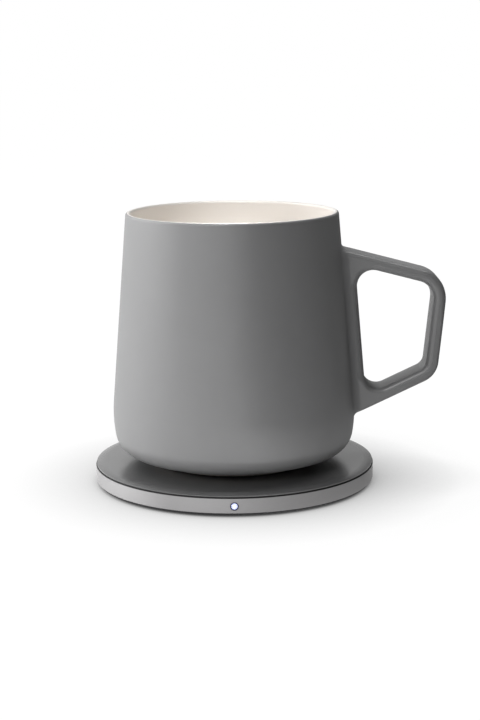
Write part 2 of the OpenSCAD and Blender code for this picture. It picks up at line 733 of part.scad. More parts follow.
module shield_disc() {
    hole = [terminal_w + 2 * pass_clear, terminal_l + 2 * pass_clear];
    color([0.74, 0.75, 0.76]) difference() {
        ring(lead_hole_r, shield_r, shield_z, ferrite_z);
        for (t = terminal_places()) translate([t.x - hole.x / 2, t.y - hole.y / 2, shield_z - 1])
            cube([hole.x, hole.y, shield_t + 2]);
    }
}

module heat_sheet() {
    color([0.80, 0.76, 0.62]) ring(sensor_hole_r, tray_r, sheet_z, plate_z);
}

module thermistor() {
    color([0.16, 0.18, 0.22]) disc(sensor_r, coil_z + cushion_t, plate_z);
}

module sensor_cushion() {
    color([0.55, 0.55, 0.56]) ring(lead_hole_r, cushion_r, coil_z, coil_z + cushion_t);
}

module sensor_leads() {
    color([0.70, 0.66, 0.55]) for (s = [-1, 1]) translate([s * sensor_lead_x, 0, 0])
        disc(sensor_lead_r, board_top, coil_z + cushion_t);
}

module usb_shell() {
    color([0.70, 0.71, 0.72]) {
        difference() {
            translate([0, usb_back_y, usb_z]) rotate([-90, 0, 0]) linear_extrude(usb_l)
                long_hole(usb_w, usb_h);
            translate([0, usb_back_y + usb_wall, usb_z]) rotate([-90, 0, 0]) linear_extrude(usb_l)
                long_hole(usb_w - 2 * usb_wall, usb_h - 2 * usb_wall);
        }
        for (s = [-1, 1], k = [0.5, 2])
            translate([s * (usb_w - usb_wall + solder_tab_w) / 2 - solder_tab_w / 2,
                       usb_back_y + k * solder_tab_l, board_top])
            cube([solder_tab_w, solder_tab_l, usb_wall]);
    }
}

module usb_tongue() {
    gap = tongue_clear;
    block_l = usb_l * 0.3;
    color([0.08, 0.08, 0.09]) {
        translate([0, usb_back_y + usb_wall, usb_z]) rotate([-90, 0, 0]) linear_extrude(block_l)
            long_hole(usb_w - 2 * usb_wall - 2 * gap, usb_h - 2 * usb_wall - 2 * gap);
        translate([-tongue_w / 2, usb_back_y + usb_wall + block_l - eps, usb_z - tongue_t / 2])
            cube([tongue_w, usb_l * 0.56, tongue_t]);
    }
}

module status_led() {
    color([0.90, 0.90, 0.86]) translate([-source_w / 2, -source_y, board_top])
        cube([source_w, source_l, source_h]);
}

module led_lens() {
    color([0.80, 0.84, 0.98]) {
        translate([0, -(source_y + source_gap), led_z]) rotate([90, 0, 0])
            cylinder(r = lens_r, h = pad_r - source_y - source_gap);
        translate([0, -(chassis_in_r - pipe_tail / 2), led_z]) rotate([90, 0, 0])
            cylinder(r = bezel_r, h = pipe_tail / 2 - light_clear);
    }
}

module led_bezel() {
    color([0.08, 0.09, 0.16]) translate([0, -chassis_r - chassis_clear / 2, led_z]) rotate([90, 0, 0])
        ring(lens_r + light_clear, bezel_r, 0, pad_r + bezel_proud - chassis_r - chassis_clear / 2);
}

module driver_chip() {
    color([0.10, 0.10, 0.11]) board_part(driver_a, driver_w, driver_w, chip_h);
}

module control_chip() {
    color([0.10, 0.10, 0.11]) board_part(control_a, control_w, control_w, chip_h);
}

module power_switches() {
    color([0.13, 0.13, 0.14]) for (k = [0 : 3])
        board_part(switch_a + k * part_turn(switch_w), switch_w, switch_w, chip_h);
}

module resonant_capacitors() {
    color([0.60, 0.50, 0.36]) for (k = [0 : 3])
        board_part(film_a + k * part_turn(film_l), film_l, film_w, 0.85 * tall_part_h);
}

module bulk_capacitors() {
    color([0.70, 0.71, 0.73]) for (k = [0, 1])
        rotate([0, 0, can_a + k * part_turn(2 * can_r)]) translate([parts_r + can_r, 0, 0])
        disc(can_r, board_top, board_top + tall_part_h);
}

module choke() {
    color([0.25, 0.25, 0.26]) board_part(choke_a, choke_w, choke_w, tall_part_h);
}

module chip_resistors() {
    color([0.20, 0.18, 0.17]) for (k = [0 : 6])
        board_part(resistor_a + k * part_turn(resistor_w), resistor_w, resistor_l, 0.55 * chip_h);
}

mug_body();
heating_disc();
disc_bond();
base_pad();
top_plate();
plate_seal();
rim_band();
chassis();
base_cover();
foot_pad();
cover_screws();
board_screws();
main_board();
coil_tray();
heating_coil();
coil_terminals();
ferrite_bars();
shield_disc();
heat_sheet();
thermistor();
sensor_cushion();
sensor_leads();
usb_shell();
usb_tongue();
status_led();
led_lens();
led_bezel();
driver_chip();
control_chip();
power_switches();
resonant_capacitors();
bulk_capacitors();
choke();
chip_resistors();
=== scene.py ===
"""A self-heating mug on its warming pad, dressed, lit and framed.

Blender works in metres. Sizes are named in millimetres and turned into metres where a mesh is made.
"""
import json
from math import atan2, cos, hypot, pi, radians, sin, sqrt

import bpy
import numpy as np
from mathutils import Matrix, Vector

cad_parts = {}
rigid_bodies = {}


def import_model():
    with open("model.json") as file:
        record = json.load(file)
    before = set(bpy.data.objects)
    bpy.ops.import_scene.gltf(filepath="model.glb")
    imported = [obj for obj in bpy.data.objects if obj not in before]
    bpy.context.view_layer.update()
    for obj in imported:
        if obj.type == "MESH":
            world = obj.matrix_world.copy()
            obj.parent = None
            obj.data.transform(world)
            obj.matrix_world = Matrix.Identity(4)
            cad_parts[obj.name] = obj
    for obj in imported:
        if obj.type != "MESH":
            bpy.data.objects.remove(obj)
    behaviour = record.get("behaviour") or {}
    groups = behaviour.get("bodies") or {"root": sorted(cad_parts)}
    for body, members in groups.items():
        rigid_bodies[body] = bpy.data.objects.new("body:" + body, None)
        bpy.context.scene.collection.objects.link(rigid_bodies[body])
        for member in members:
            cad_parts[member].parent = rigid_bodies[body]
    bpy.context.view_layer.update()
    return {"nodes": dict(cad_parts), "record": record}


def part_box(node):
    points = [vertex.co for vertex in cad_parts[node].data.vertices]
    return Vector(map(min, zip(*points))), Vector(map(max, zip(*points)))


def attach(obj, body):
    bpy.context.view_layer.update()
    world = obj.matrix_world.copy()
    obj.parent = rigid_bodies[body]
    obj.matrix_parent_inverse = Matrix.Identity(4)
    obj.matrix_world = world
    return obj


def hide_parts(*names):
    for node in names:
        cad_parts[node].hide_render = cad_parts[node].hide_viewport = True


for stray in list(bpy.data.objects):
    bpy.data.objects.remove(stray)
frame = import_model()
nodes = frame["nodes"]
MM = 0.001

# Driving sizes, from the frame where it has them
pad_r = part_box("rim_band")[1].x / MM
plate_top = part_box("top_plate")[1].z / MM
mug_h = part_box("mug_body")[1].z / MM - plate_top
recess_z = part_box("disc_bond")[1].z / MM - plate_top
lamp_z = (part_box("led_bezel")[0].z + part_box("led_bezel")[1].z) / 2 / MM
lamp_r = (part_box("led_bezel")[1].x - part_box("led_bezel")[0].x) / 2 / MM

rim_r = 39.0
belly_r = 45.0
belly_z = 18.8
shoulder_r = 54.0
corner_r = 8.6
belly_lift = 3.0
wall_t = 3.6
lip_t = 2.0
floor_t = 4.7
bowl_r = 9.0
foot_r = 30.5
recess_r = 27.4
foot_taper = 0.5
foot_gap = 0.4
recess_in_r = 0.3
foot_in_r = 0.4
foot_out_r = 0.6
foot_top_r = 0.9

handle_top_z = 79.0
handle_low_z = 17.6
grip_x = 76.87
top_slope = radians(14.7)
grip_lean = radians(6.1)
low_slope = radians(25.4)
strap_t = 4.6
strap_half_w = 7.0
strap_in_r = 2.2
strap_out_r = 1.0
strap_top_r = 2.0
back_t = 4.2
grip_top_r = 11.2
grip_low_r = 8.8
eye_top_r = 5.8
eye_low_r = 5.3
root_r = 2.5
sunk_t = 1.0
skirt = 0.3

# The grey glaze fades out between these depths under the rim
fade_start = 0.12
fade_end = 0.01

coil_turns = 12
coil_pitch = 1.75
coil_in_r = 9.0
wire_d = 1.3
strand_n = 7
strand_lay = 9 * wire_d


def unit(v):
    return v / np.linalg.norm(v)


def heading(a):
    return np.array([cos(a), sin(a)])


def bearing(v):
    return atan2(v[1], v[0])


def turn_to(start, end):
    """The shorter turn from one angle to another."""
    return (end - start + pi) % (2 * pi) - pi


def held(share):
    """A share held between 0 and 1."""
    return min(max(share, 0.0), 1.0)


def eased(share):
    """A share that starts and ends its run gently."""
    return share * share * (3 - 2 * share)


def arc(centre, r, start, end, steps):
    """Points along an arc, its two ends among them."""
    return [centre + r * heading(start + (end - start) * k / steps) for k in range(steps + 1)]


def rounded(corners, steps=5):
    """An open outline through (x, z, radius) corners, each rounded by its radius."""
    points = [np.array(c[:2], float) for c in corners]
    path = [points[0]]
    for before, at, after, (_, _, r) in zip(points, points[1:], points[2:], corners[1:-1]):
        u, v = unit(before - at), unit(after - at)
        half = np.arccos(np.clip(u @ v, -1, 1)) / 2
        centre = at + unit(u + v) * r / sin(half)
        first, last = at + u * r / np.tan(half) - centre, at + v * r / np.tan(half) - centre
        start = bearing(first)
        path += arc(centre, r, start, start + turn_to(start, bearing(last)), steps)
    return path + [points[-1]]


def straight(a, b, steps):
    """Points between two ends, both left out."""
    return [a + (b - a) * k / steps for k in range(1, steps)]


# The mug's section, as heights above the plate
shoulder_c = np.array([belly_r - shoulder_r, belly_z])
to_rim = np.array([rim_r, mug_h]) - shoulder_c
wall_lean = bearing(to_rim) - np.arccos(shoulder_r / hypot(*to_rim))
wall_out = heading(wall_lean)
wall_foot = shoulder_c + shoulder_r * wall_out
corner_c = np.array([shoulder_c[0] + sqrt((shoulder_r - corner_r) ** 2
                     - (belly_z - belly_lift - corner_r) ** 2), belly_lift + corner_r])
corner_turn = bearing(corner_c - shoulder_c)
inner_r = shoulder_r - wall_t
bowl_z = recess_z + floor_t
bowl_c = np.array([shoulder_c[0] + sqrt((inner_r - bowl_r) ** 2
                   - (belly_z - bowl_z - bowl_r) ** 2), bowl_z + bowl_r])
bowl_turn = bearing(bowl_c - shoulder_c)
lip_r = lip_t / 2
lip_c = np.array([wall_foot[0] - (lip_r + (mug_h - lip_r - wall_foot[1]) * wall_out[1]) / wall_out[0],
                  mug_h - lip_r])


def wall_gap(p):
    """Distance of a point in the handle's plane from the mug's outside."""
    if p[1] > wall_foot[1]:
        return (p - wall_foot) @ wall_out
    return hypot(*(p - shoulder_c)) - shoulder_r


def wall_radius(z):
    """The mug's outer radius at a height."""
    if z > wall_foot[1]:
        return wall_foot[0] - (z - wall_foot[1]) * wall_out[1] / wall_out[0]
    return shoulder_c[0] + sqrt(shoulder_r ** 2 - (z - belly_z) ** 2)


def lathe(outline, segments):
    """A closed turned form from an outline that starts and ends on the axis.

    It gives the points, the faces and each face's row of the outline.
    """
    points, faces, rows = [], [], []
    for r, z in outline[1:-1]:
        for k in range(segments):
            a = 2 * pi * k / segments
            points.append((r * cos(a), r * sin(a), z))
    count = len(outline) - 2
    first, last = len(points), len(points) + 1
    points += [(0, 0, outline[0][1]), (0, 0, outline[-1][1])]
    for k in range(segments):
        n = (k + 1) % segments
        faces.append((first, n, k))
        rows.append(0)
        for i in range(count - 1):
            a, b = i * segments, (i + 1) * segments
            faces.append((a + k, a + n, b + n, b + k))
            rows.append(i + 1)
        end = (count - 1) * segments
        faces.append((end + k, end + n, last))
        rows.append(count)
    return points, faces, rows


def piece(name, body, points, faces, materials, rows=None, sharp=40):
    """A new mesh object, in millimetres of the row frame, that rides on a body."""
    mesh = bpy.data.meshes.new(name)
    mesh.from_pydata([Vector(p) * MM for p in points], [], faces)
    mesh.validate()
    for material in materials:
        mesh.materials.append(material)
    if rows is not None:
        mesh.polygons.foreach_set("material_index", rows)
    mesh.shade_smooth()
    mesh.set_sharp_from_angle(angle=radians(sharp))
    mesh.update()
    obj = bpy.data.objects.new(name, mesh)
    bpy.context.scene.collection.objects.link(obj)
    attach(obj, body)
    return obj


# The handle: lines in its plane, each a point and a heading, run round it with its middle on their left.
# A station joins a point of the finger opening to one of the strap's outer line and carries a section.
def moved(line, d):
    return line[0] + d * heading(line[1] + pi / 2), line[1]


def crossing(m, n):
    (p, a), (q, b) = m, n
    return p + heading(a) * ((q[0] - p[0]) * sin(b) - (q[1] - p[1]) * cos(b)) / sin(b - a)


def foot_on(p, line):
    return crossing((p, line[1] + pi / 2), line)


def level(z):
    return np.array([0.0, z]), 0.0


wall_line = (wall_foot, 1.5 * pi + wall_lean)
top_line = (crossing(wall_line, level(handle_top_z)), pi - top_slope)
grip_line = (np.array([grip_x, (handle_top_z + handle_low_z) / 2]), pi / 2 - grip_lean)
low_line = (crossing(wall_line, level(handle_low_z)), low_slope)
core_line = moved(wall_line, -sunk_t)


def eye_corner(m, n, r):
    """A rounded corner of the finger opening: its tangent points on two lines, its centre and its radius."""
    centre = crossing(moved(m, r), moved(n, r))
    return foot_on(centre, m), foot_on(centre, n), centre, r


inner_lines = [moved(wall_line, back_t)] + [moved(line, strap_t) for line in (low_line, grip_line, top_line)]
back, low, grip, top = inner_lines
eye = [eye_corner(back, low, eye_low_r), eye_corner(low, grip, grip_low_r - strap_t),
       eye_corner(grip, top, grip_top_r - strap_t), eye_corner(top, back, eye_top_r)]


def corner_at(corner, share, let_out=0.0):
    """The point at a share of a corner's turn."""
    first, last, centre, r = corner
    start = bearing(first - centre)
    return centre + (r + let_out) * heading(start + share * turn_to(start, bearing(last - centre)))


def corner_stations(corner, steps=18):
    """Stations round a corner of the strap."""
    return [(corner_at(corner, k / steps), corner_at(corner, k / steps, strap_t)) for k in range(steps + 1)]


def depth_in(p, line):
    """Distance of a point from a line, on the strap's side of it."""
    return (p - line[0]) @ heading(line[1] + pi / 2)


def root_circle(line, p_bar, reach=20.0, halvings=50):
    """The fillet between a bar and the mug: its centre, found by halving, and the wall's way out there."""
    offset = moved(line, -root_r)
    along = heading(line[1]) * (-1 if line[1] < pi / 2 else 1)
    near, far = foot_on(p_bar, offset), foot_on(p_bar, offset) + along * reach
    for _ in range(halvings):
        middle = (near + far) / 2
        if wall_gap(middle) > root_r:
            near = middle
        else:
            far = middle
    return near, wall_out if near[1] > wall_foot[1] else unit(near - shoulder_c)


def shares(low, high, steps):
    """Shares from low to just before high."""
    return [low + (high - low) * k / steps for k in range(steps)]


def root_stations(line, circle, corner, bar_steps=7, fillet_steps=12, sunk_steps=20):
    """Stations beside the mug: along the bar, up its fillet and then down inside the wall.

    Each joins a point of the opening's corner, at a share of its turn, to one of the strap's outer line. The
    fillet is left where it starts to hide the wall from the opening.
    """
    bar_end, fillet_end = 0.2, 0.7
    fillet_part, clear_of_it, crowding = 0.62, 0.15, 1.6
    centre, out = circle
    on_strap, on_wall = foot_on(centre, line), centre - out * root_r
    start = bearing(on_strap - centre)
    sweep = turn_to(start, bearing(on_wall - centre)) * fillet_part
    bar = foot_on(corner_at(corner, 0), line)
    found = [(t, bar + (on_strap - bar) * t / bar_end) for t in shares(0, bar_end, bar_steps)]
    found += [(t, centre + root_r * heading(start + sweep * (t - bar_end) / (fillet_end - bar_end)))
              for t in shares(bar_end, fillet_end, fillet_steps)]
    left = centre + (root_r + clear_of_it) * heading(start + sweep)
    sight = left - corner_at(corner, fillet_end)
    first = crossing((left, bearing(sight)), core_line)
    last = foot_on(corner_at(corner, 1), core_line)
    found += [(fillet_end + (1 - fillet_end) * t, first + (last - first) * t ** crowding)
              for t in shares(0, 1, sunk_steps)]
    return [(corner_at(corner, t), p) for t, p in found + [(1, last)]]


top_circle, low_circle = root_circle(top_line, eye[3][0]), root_circle(low_line, eye[0][1])
low_corner = (eye[0][1], eye[0][0], *eye[0][2:])


def bar_stations(corner, after, steps):
    """Stations along the straight bar between a corner and the one after it."""
    a, b = corner[1], after[0]
    out = unit(b - a)
    out = np.array([out[1], -out[0]]) * strap_t
    return [(p, p + out) for p in straight(a, b, steps)]


stations = root_stations(low_line, low_circle, low_corner)[::-1]
stations += bar_stations(eye[0], eye[1], steps=12)
stations += corner_stations(eye[1])
stations += bar_stations(eye[1], eye[2], steps=20)
stations += corner_stations(eye[2])
stations += bar_stations(eye[2], eye[3], steps=14)
stations += root_stations(top_line, top_circle, eye[3])
stations += [(p, foot_on(p, core_line)) for p in straight(eye[3][1], eye[0][0], steps=20)]


def flare(d):
    """Width that a fillet adds to the strap at a distance from the wall."""
    d = min(max(d, 0.0), root_r)
    return root_r - sqrt(root_r ** 2 - (root_r - d) ** 2)


def edge_radius(p):
    """Radius of the strap's outer edge at a point, fuller along the top bar than down the grip."""
    share = held((p[1] - grip_line[0][1]) / (grip_top_r + strap_half_w))
    return strap_out_r + (strap_top_r - strap_out_r) * eased(share)


def half_width(p):
    """Half the strap's width at a point, with the fillet on the mug and the rounded outer edge."""
    upper = p[1] > grip_line[0][1]
    line, (centre, out) = (top_line, top_circle) if upper else (low_line, low_circle)
    g = min(max(wall_gap(p), 0.0), root_r)
    towards = np.array([out[1], -out[0]]) * (1 if upper else -1)
    on_fillet = centre + (g - root_r) * out + sqrt(root_r ** 2 - (root_r - g) ** 2) * towards
    on_bar = g > wall_gap(foot_on(centre, line))
    r = edge_radius(p)
    rise = r + (0.0 if on_bar else max(-depth_in(on_fillet, line), 0.0))
    over = held((r - depth_in(p, line)) / rise)
    return strap_half_w - r + (r + flare(g)) * sqrt(1 - over ** 2)


def strap_ring(inner, outer, edge_steps=7, side_steps=14):
    """A section of the strap, from the middle of its inner face round to it again.

    It is drawn as (run, half width) places along one side, and mirrored. Where it ends inside the mug's wall
    it widens into a skirt, so that no slit shows at the foot of the fillet.
    """
    sunk_by, root_reach = 0.01, 6 * root_r
    flat_part, edge_part = 0.9, 0.7
    skirt_at, core_at, core_part = 0.1, 0.5, 0.8
    face_parts, core_parts = (0.9, 0.6, 0.3, 0.0), (0.3, 0.0)
    length, way = hypot(*(outer - inner)), unit(outer - inner)
    turns = [pi / 2 * k / edge_steps for k in range(edge_steps + 1)]
    gap_in, gap_out = wall_gap(inner), wall_gap(outer)
    r, wide = strap_in_r, strap_half_w - strap_in_r
    half = [(0.0, 0.0), (0.0, flat_part * wide)] + [(r - r * cos(a), wide + r * sin(a)) for a in turns]
    sunk = gap_out < -sunk_by
    shown = length * gap_in / (gap_in - gap_out) if sunk else length
    near_root = gap_out < root_reach
    out_r = edge_radius(outer)
    edge = min(out_r + flare(gap_out), edge_part * (shown - r))
    places = [r + (shown - r - edge) * k / side_steps for k in range(1, side_steps)]
    for s in places + [shown - edge + edge * cos(a) for a in turns[::-1]]:
        lost = held(1 - (length - s) / out_r)
        bare = strap_half_w - out_r + out_r * sqrt(1 - lost ** 2)
        half.append((s, half_width(inner + way * s) if near_root else bare))
    last, hidden = half[-1][1], length - shown
    if sunk:
        half += [(shown + skirt_at * hidden, last + skirt), (shown + core_at * hidden, core_part * last)]
    half += [(length, part * last) for part in (core_parts if sunk else face_parts)]
    points = []
    for s, w in half + [(s, -w) for s, w in half[-2:0:-1]]:
        p = inner + way * s
        radius = wall_radius(p[1])
        fall = (radius - sqrt(radius ** 2 - w ** 2)) * eased(held(1 - wall_gap(p) / back_t))
        points.append((p[0] - fall, -w, p[1]))
    return points


def handle_mesh():
    """The strap's sections joined into a closed ring, which ends inside the mug's wall."""
    rings = [strap_ring(*s) for s in stations]
    n, m = len(rings), len(rings[0])
    faces = [(i * m + k, i * m + (k + 1) % m, (i + 1) % n * m + (k + 1) % m, (i + 1) % n * m + k)
             for i in range(n) for k in range(m)]
    return [p for ring in rings for p in ring], faces


# Materials
def start(name):
    material = bpy.data.materials.new(name)
    material.use_nodes = True
    return material, material.node_tree, material.node_tree.nodes["Principled BSDF"]


def node(tree, kind, inputs=None, **settings):
    """A new shader node, its settings, and its inputs as numbers or as sockets to link."""
    new = tree.nodes.new("ShaderNode" + kind)
    for key, value in settings.items():
        setattr(new, key, value)
    for key, value in (inputs or {}).items():
        if isinstance(value, bpy.types.NodeSocket):
            tree.links.new(value, new.inputs[key])
        else:
            new.inputs[key].default_value = value
    return new


def place(tree):
    return node(tree, "TexCoord").outputs["Object"]


def noise(tree, size, detail=3.0, vector=None):
    """Noise with features about this many millimetres across."""
    return node(tree, "TexNoise", {"Vector": vector or place(tree), "Scale": 1 / (size * MM),
                                   "Detail": detail, "Roughness": 0.55}).outputs["Fac"]


def between(tree, factor, low, high, start=0.3, end=0.7):
    """A value that runs from low to high as the factor runs from start to end."""
    return node(tree, "MapRange", {"Value": factor, "From Min": start, "From Max": end,
                                   "To Min": low, "To Max": high}).outputs["Result"]


def mixed(tree, factor, a, b):
    """A colour between two others."""
    mix = node(tree, "Mix", {0: factor}, data_type="RGBA")
    for index, value in ((6, a), (7, b)):
        if isinstance(value, bpy.types.NodeSocket):
            tree.links.new(value, mix.inputs[index])
        else:
            mix.inputs[index].default_value = (*value, 1)
    return mix.outputs[2]


def shade(color, factor):
    return tuple(min(c * factor, 1.0) for c in color)


def bump(tree, height, depth, strength=1.0, normal=None):
    inputs = {"Height": height, "Strength": strength, "Distance": depth * MM}
    if normal:
        inputs["Normal"] = normal
    return node(tree, "Bump", inputs).outputs["Normal"]


def wire(tree, bsdf, color=None, roughness=None, normal=None, **sockets):
    for key, value in (("Base Color", color), ("Roughness", roughness), ("Normal", normal)):
        if value is not None:
            tree.links.new(value, bsdf.inputs[key])
    for key, value in sockets.items():
        bsdf.inputs[key.replace("_", " ")].default_value = value


def surface(name, color, roughness, mottle=0.06, mottle_size=6.0, grain=0.4, depth=0.01, spread=0.06,
            **sockets):
    """A solid material with cloudy colour, uneven gloss and a fine grain."""
    material, tree, bsdf = start(name)
    cloud = noise(tree, mottle_size, 4.0)
    fine = noise(tree, grain, 2.0)
    wire(tree, bsdf,
         mixed(tree, between(tree, cloud, 0, 1), shade(color, 1 - mottle), shade(color, 1 + mottle)),
         between(tree, fine, roughness - spread, roughness + spread),
         bump(tree, fine, depth), **sockets)
    return material


grey = (0.236, 0.236, 0.239)
cream = (0.890, 0.852, 0.808)


def outer_glaze():
    """Satin grey glaze, less glossy where it is seen aslant, which ends on the crest of the lip."""
    material, tree, bsdf = start("grey_glaze")
    cloud, peel, fine = noise(tree, 14.0, 3.0), noise(tree, 2.2, 2.0), noise(tree, 0.35, 2.0)
    body = mixed(tree, between(tree, cloud, 0, 1), shade(grey, 0.98), shade(grey, 1.02))
    height = node(tree, "SeparateXYZ", {0: place(tree)}).outputs["Z"]
    rim = (plate_top + mug_h) * MM
    fade = {"Value": height, "From Min": rim - fade_start * MM, "From Max": rim - fade_end * MM}
    crest = node(tree, "MapRange", fade, interpolation_type="SMOOTHSTEP").outputs["Result"]
    normal = bump(tree, fine, 0.001, 1.0, bump(tree, peel, 0.008))
    aslant = node(tree, "LayerWeight", {"Blend": 0.5}).outputs["Facing"]
    sheen = between(tree, aslant, 0.29, 0.62, 0, 1)
    satin = node(tree, "Math", {0: sheen, 1: between(tree, fine, -0.01, 0.01)}, operation="ADD").outputs[0]
    wire(tree, bsdf, mixed(tree, crest, body, cream), satin, normal, IOR=1.7)
    return material


def inner_glaze():
    """Smooth cream glaze, faintly cloudy."""
    material, tree, bsdf = start("cream_glaze")
    cloud, peel = noise(tree, 25.0, 1.0), noise(tree, 4.0, 1.0)
    wire(tree, bsdf, mixed(tree, between(tree, cloud, 0, 1), shade(cream, 0.99), shade(cream, 1.01)),
         between(tree, peel, 0.30, 0.36), bump(tree, peel, 0.006))
    return material


def polar(tree):
    """Angle round the axis, distance from it and height."""
    axes = node(tree, "SeparateXYZ", {0: place(tree)}).outputs
    angle = node(tree, "Math", {0: axes["Y"], 1: axes["X"]}, operation="ARCTAN2").outputs[0]
    flat = node(tree, "CombineXYZ", {"X": axes["X"], "Y": axes["Y"]}).outputs[0]
    return angle, node(tree, "VectorMath", {0: flat}, operation="LENGTH").outputs["Value"], axes["Z"]


def turned_lines(tree, size):
    """Fine lines that run round the axis."""
    angle, radius, height = polar(tree)
    drawn_out = node(tree, "Math", {0: angle, 1: 0.004}, operation="MULTIPLY").outputs[0]
    along = node(tree, "CombineXYZ", {"X": drawn_out, "Y": radius, "Z": height}).outputs[0]
    return noise(tree, size, 3.0, along)


def turned_metal(name, color, roughness):
    """Metal with the marks of turning."""
    material, tree, bsdf = start(name)
    lines = turned_lines(tree, 0.15)
    wire(tree, bsdf, mixed(tree, between(tree, lines, 0, 1), shade(color, 0.92), shade(color, 1.08)),
         between(tree, lines, roughness - 0.08, roughness + 0.08), bump(tree, lines, 0.004), Metallic=1.0)
    return material


def brushed_band():
    """Anodised metal, brushed round the band, with painted shade along its top edge for the gap under the
    plate.
    """
    material, tree, bsdf = start("brushed_band")
    lines = turned_lines(tree, 0.12)
    color = (0.405, 0.399, 0.402)
    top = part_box("rim_band")[1].z
    # Painted shade: a dark strip on the band's top edge stands in for the shadow in the gap under the plate.
    gap_shade_h, gap_shade_fade = 0.18 * MM, 0.12 * MM
    gap_shade = between(tree, polar(tree)[2], 0, 1, top - gap_shade_h - gap_shade_fade, top - gap_shade_h)
    body = mixed(tree, between(tree, lines, 0, 1), shade(color, 0.94), shade(color, 1.06))
    wire(tree, bsdf, mixed(tree, gap_shade, body, (0.03, 0.03, 0.03)),
         between(tree, lines, 0.48, 0.58), bump(tree, lines, 0.003),
         Metallic=1.0, Anisotropic=0.8, Anisotropic_Rotation=0.25)
    tangent = node(tree, "Tangent", direction_type="RADIAL", axis="Z").outputs[0]
    tree.links.new(tangent, bsdf.inputs["Tangent"])
    return material


def circuit_board():
    """Green solder mask over copper tracks."""
    material, tree, bsdf = start("circuit_board")
    track_pitch = 3.2 * MM
    layout = {"Scale": 1 / track_pitch, "Mortar Size": 0.035, "Mortar Smooth": 0.3, "Brick Width": 0.7,
              "Row Height": 0.18}
    tracks = node(tree, "TexBrick", {"Vector": place(tree), **layout}).outputs["Fac"]
    cloud, fine = noise(tree, 9.0, 3.0), noise(tree, 0.3, 2.0)
    mask = mixed(tree, between(tree, cloud, 0, 1), (0.008, 0.060, 0.026), (0.012, 0.080, 0.036))
    wire(tree, bsdf, mixed(tree, tracks, mask, (0.030, 0.150, 0.060)), between(tree, fine, 0.28, 0.40),
         bump(tree, tracks, 0.035, 1.0, bump(tree, fine, 0.004)))
    return material


def mica_sheet():
    """Pressed mica, in pale flakes that each shine their own way."""
    material, tree, bsdf = start("mica_sheet")
    flakes = node(tree, "TexVoronoi", {"Vector": place(tree), "Scale": 1 / (1.8 * MM)}).outputs
    tone = node(tree, "SeparateXYZ", {0: flakes["Color"]}).outputs
    wire(tree, bsdf, mixed(tree, tone["X"], (0.50, 0.44, 0.31), (0.66, 0.60, 0.46)),
         between(tree, tone["Y"], 0.25, 0.55, 0, 1), bump(tree, flakes["Distance"], 0.02))
    return material


def litz():
    """Enamelled copper strands."""
    material, tree, bsdf = start("litz_copper")
    cloud, strands = noise(tree, 5.0, 3.0), noise(tree, 0.12, 3.0)
    wire(tree, bsdf, mixed(tree, between(tree, cloud, 0, 1), (0.50, 0.20, 0.075), (0.66, 0.30, 0.12)),
         between(tree, strands, 0.26, 0.42), bump(tree, strands, 0.02), Metallic=1.0)
    return material


def gilt_contacts():
    """Black socket plastic, with a row of gilt contacts along the tongue."""
    material, tree, bsdf = start("socket_plastic")
    low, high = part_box("usb_tongue")
    axes = node(tree, "SeparateXYZ", {0: place(tree)}).outputs
    contact_pitch = 0.5 * MM
    turn = node(tree, "Math", {0: axes["X"], 1: 2 * pi / contact_pitch}, operation="MULTIPLY").outputs[0]
    row = node(tree, "Math", {0: turn}, operation="COSINE").outputs[0]
    contacts_from = (0.40, 0.42)
    front = between(tree, axes["Y"], 0, 1, *(low.y + share * (high.y - low.y) for share in contacts_from))
    bars = between(tree, row, 0, 1, -0.1, 0.1)
    gilt = node(tree, "Math", {0: bars, 1: front}, operation="MULTIPLY").outputs[0]
    fine = noise(tree, 0.2, 2.0)
    wire(tree, bsdf, mixed(tree, gilt, (0.020, 0.020, 0.022), (0.80, 0.56, 0.22)),
         between(tree, fine, 0.30, 0.44), bump(tree, gilt, 0.03, 1.0, bump(tree, fine, 0.006)))
    tree.links.new(gilt, bsdf.inputs["Metallic"])
    return material


def tinned_ends(near, far):
    """Dark chip resistors with a tinned cap at each end, which lie between two distances from the axis."""
    material, tree, bsdf = start("resistor")
    radius, fine = polar(tree)[1], noise(tree, 0.15, 2.0)
    middle = node(tree, "Math", {0: radius, 1: (near + far) / 2}, operation="SUBTRACT").outputs[0]
    aside = node(tree, "Math", {0: middle}, operation="ABSOLUTE").outputs[0]
    cap = between(tree, aside, 0, 1, 0.28 * (far - near), 0.30 * (far - near))
    wire(tree, bsdf, mixed(tree, cap, (0.030, 0.028, 0.028), (0.66, 0.65, 0.62)),
         between(tree, fine, 0.32, 0.46), bump(tree, cap, 0.02, 1.0, bump(tree, fine, 0.006)))
    tree.links.new(cap, bsdf.inputs["Metallic"])
    return material


def lit_lens():
    """A frosted light pipe, white in the middle and blue towards its edge."""
    material, tree, bsdf = start("lit_lens")
    axes = node(tree, "SeparateXYZ", {0: place(tree)}).outputs
    down = node(tree, "Math", {0: axes["Z"], 1: lamp_z * MM}, operation="SUBTRACT").outputs[0]
    flat = node(tree, "CombineXYZ", {"X": axes["X"], "Y": down}).outputs[0]
    away = node(tree, "VectorMath", {0: flat}, operation="LENGTH").outputs["Value"]
    frost = noise(tree, 0.2, 2.0)
    glow = mixed(tree, between(tree, away, 0, 1, 0.2 * lamp_r * MM, 0.75 * lamp_r * MM),
                 (0.78, 0.82, 1.0), (0.14, 0.19, 0.75))
    wire(tree, bsdf, mixed(tree, frost, (0.70, 0.74, 0.86), (0.78, 0.81, 0.90)),
         between(tree, frost, 0.3, 0.4), bump(tree, frost, 0.004), Emission_Strength=0.65)
    tree.links.new(glow, bsdf.inputs["Emission Color"])
    return material


# The mug, one turned form with its handle
grey_glaze, cream_glaze = outer_glaze(), inner_glaze()
bare_stoneware = surface("bare_stoneware", (0.52, 0.49, 0.46), 0.8, mottle_size=1.2, grain=0.25, depth=0.02)

